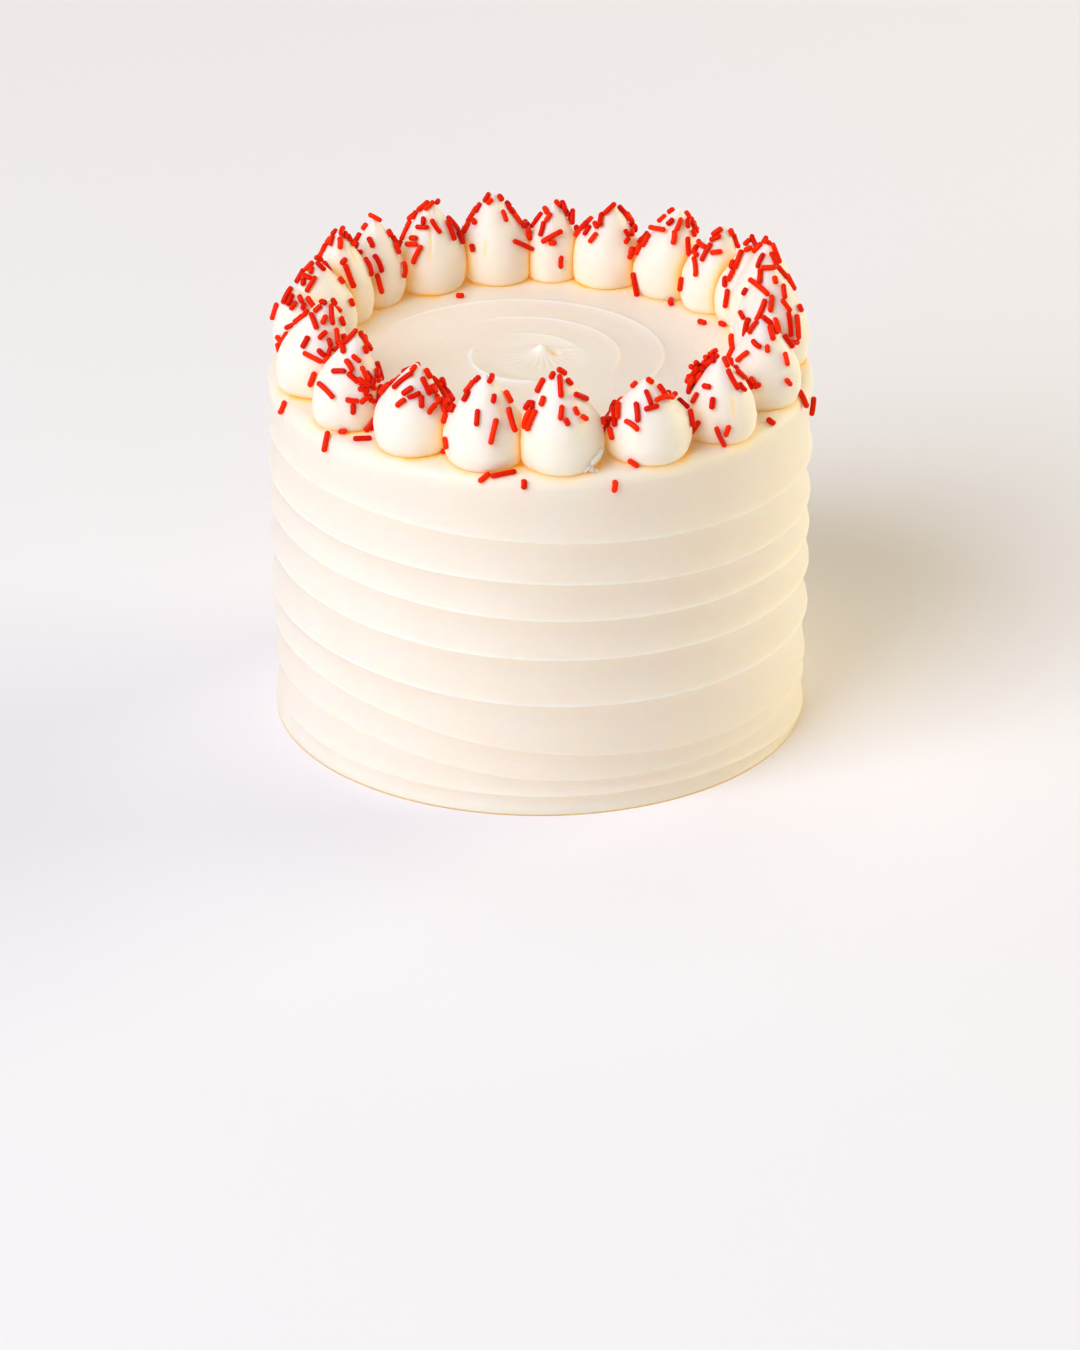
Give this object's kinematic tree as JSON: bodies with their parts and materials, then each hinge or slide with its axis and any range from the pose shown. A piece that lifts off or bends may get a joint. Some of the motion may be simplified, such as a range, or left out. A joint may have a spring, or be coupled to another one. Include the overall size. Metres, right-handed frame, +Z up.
{
  "type": "red velvet cake",
  "caption": "Round, tall celebration cake in smooth ivory cream icing with combed bands round its side, pointed piped kisses round the top edge and red sugar sprinkles on them.",
  "frame": {"origin": "centre of the cake's flat underside", "axes": "+Z up from the underside through the top, -Y is the front of the cake as pictured, +X to its right"},
  "size_m": [0.1659, 0.167, 0.1455],
  "materials": {
    "icing": "soft satin cream icing, ivory, with fine spatula marks",
    "sprinkle": "smooth semi-gloss red sugar rods"
  },
  "bodies": {
    "root": {"iced_cake": "icing", "kiss_01": "icing", "kiss_02": "icing", "kiss_03": "icing", "kiss_04": "icing", "kiss_05": "icing", "kiss_06": "icing", "kiss_07": "icing", "kiss_08": "icing", "kiss_09": "icing", "kiss_10": "icing", "kiss_11": "icing", "kiss_12": "icing", "kiss_13": "icing", "kiss_14": "icing", "kiss_15": "icing", "kiss_16": "icing", "kiss_17": "icing", "kiss_18": "icing", "kiss_19": "icing", "kiss_20": "icing", "kiss_21": "icing"}
  },
  "joints": []
}
